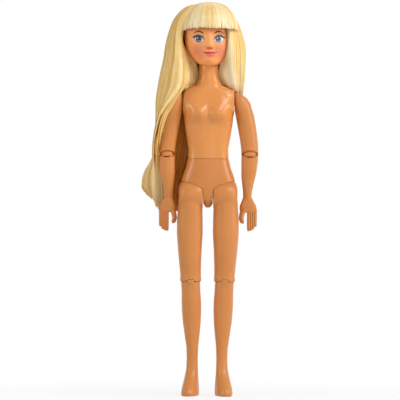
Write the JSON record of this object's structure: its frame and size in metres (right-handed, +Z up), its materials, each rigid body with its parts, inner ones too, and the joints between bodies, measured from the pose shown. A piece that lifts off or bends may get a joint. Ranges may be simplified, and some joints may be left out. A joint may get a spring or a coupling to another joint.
{
  "type": "fashion doll",
  "caption": "Jointed fashion doll with long pale blond hair, a fringe, straight arms and flat feet, standing upright.",
  "frame": {"origin": "middle of the outer box, on the ground under the soles", "axes": "+Z up, -Y the way the chest faces, +X the doll's left"},
  "size_m": [0.087, 0.0432, 0.2896],
  "materials": {
    "skin_vinyl": "semi-gloss",
    "skin_plastic": "semi-gloss",
    "hair_fibre": "satin",
    "inner_plastic": "matte",
    "pin_steel": "satin"
  },
  "bodies": {
    "pelvis": {"pelvis_front": "skin_plastic", "pelvis_back": "skin_plastic", "hip_axle": "pin_steel"},
    "torso": {"torso_front": "skin_plastic", "torso_back": "skin_plastic", "neck_post": "inner_plastic", "waist_spool": "inner_plastic"},
    "head": {"head": "skin_vinyl", "hair_cap": "hair_fibre", "hair_fringe": "hair_fibre", "hair_fall_back": "hair_fibre", "hair_fall_left": "hair_fibre", "hair_fall_right": "hair_fibre", "hair_lock_right": "hair_fibre"},
    "upper_arm_left": {"upper_arm_left": "skin_vinyl", "shoulder_peg_left": "inner_plastic"},
    "elbow_left": {"elbow_ball_left": "skin_vinyl", "elbow_pin_left": "pin_steel"},
    "forearm_left": {"forearm_left": "skin_vinyl"},
    "thigh_left": {"thigh_left": "skin_plastic", "knee_pin_left": "pin_steel"},
    "lower_leg_left": {"lower_leg_left": "skin_vinyl"},
    "upper_arm_right": {"upper_arm_right": "skin_vinyl", "shoulder_peg_right": "inner_plastic"},
    "elbow_right": {"elbow_ball_right": "skin_vinyl", "elbow_pin_right": "pin_steel"},
    "forearm_right": {"forearm_right": "skin_vinyl"},
    "thigh_right": {"thigh_right": "skin_plastic", "knee_pin_right": "pin_steel"},
    "lower_leg_right": {"lower_leg_right": "skin_vinyl"}
  },
  "joints": [
    {"name": "waist_twist", "type": "hinge", "parent": "pelvis", "child": "torso", "pos_m": [0.00645, -0.00267, 0.1749], "axis": [0, 0, 1], "range_deg": [-90, 90]},
    {"name": "head_turn", "type": "hinge", "parent": "torso", "child": "head", "pos_m": [0.00645, -0.00267, 0.2437], "axis": [0, 0, 1], "range_deg": [-80, 80], "deforming": ["hair_fall_back", "hair_fall_left", "hair_fall_right", "hair_lock_right"]},
    {"name": "shoulder_left_swing", "type": "hinge", "parent": "torso", "child": "upper_arm_left", "pos_m": [0.02545, -0.00267, 0.2175], "axis": [1, 0, 0], "range_deg": [-180, 60]},
    {"name": "elbow_left_twist", "type": "hinge", "parent": "upper_arm_left", "child": "elbow_left", "pos_m": [0.03715, -0.00267, 0.1781], "axis": [0, 0, -1], "range_deg": [0, 90]},
    {"name": "elbow_left_bend", "type": "hinge", "parent": "elbow_left", "child": "forearm_left", "pos_m": [0.03715, -0.00267, 0.1781], "axis": [1, 0, 0], "range_deg": [-50, 0]},
    {"name": "hip_left_swing", "type": "hinge", "parent": "pelvis", "child": "thigh_left", "pos_m": [0.01975, -0.00267, 0.148], "axis": [1, 0, 0], "range_deg": [-70, 20]},
    {"name": "knee_left_bend", "type": "hinge", "parent": "thigh_left", "child": "lower_leg_left", "pos_m": [0.01895, -0.00267, 0.084], "axis": [1, 0, 0], "range_deg": [0, 90]},
    {"name": "shoulder_right_swing", "type": "hinge", "parent": "torso", "child": "upper_arm_right", "pos_m": [-0.01255, -0.00267, 0.2175], "axis": [1, 0, 0], "range_deg": [-180, 60]},
    {"name": "elbow_right_twist", "type": "hinge", "parent": "upper_arm_right", "child": "elbow_right", "pos_m": [-0.02425, -0.00267, 0.1781], "axis": [0, 0, 1], "range_deg": [0, 90]},
    {"name": "elbow_right_bend", "type": "hinge", "parent": "elbow_right", "child": "forearm_right", "pos_m": [-0.02425, -0.00267, 0.1781], "axis": [1, 0, 0], "range_deg": [-50, 0]},
    {"name": "hip_right_swing", "type": "hinge", "parent": "pelvis", "child": "thigh_right", "pos_m": [-0.00685, -0.00267, 0.148], "axis": [1, 0, 0], "range_deg": [-70, 20]},
    {"name": "knee_right_bend", "type": "hinge", "parent": "thigh_right", "child": "lower_leg_right", "pos_m": [-0.00605, -0.00267, 0.084], "axis": [1, 0, 0], "range_deg": [0, 90]}
  ]
}
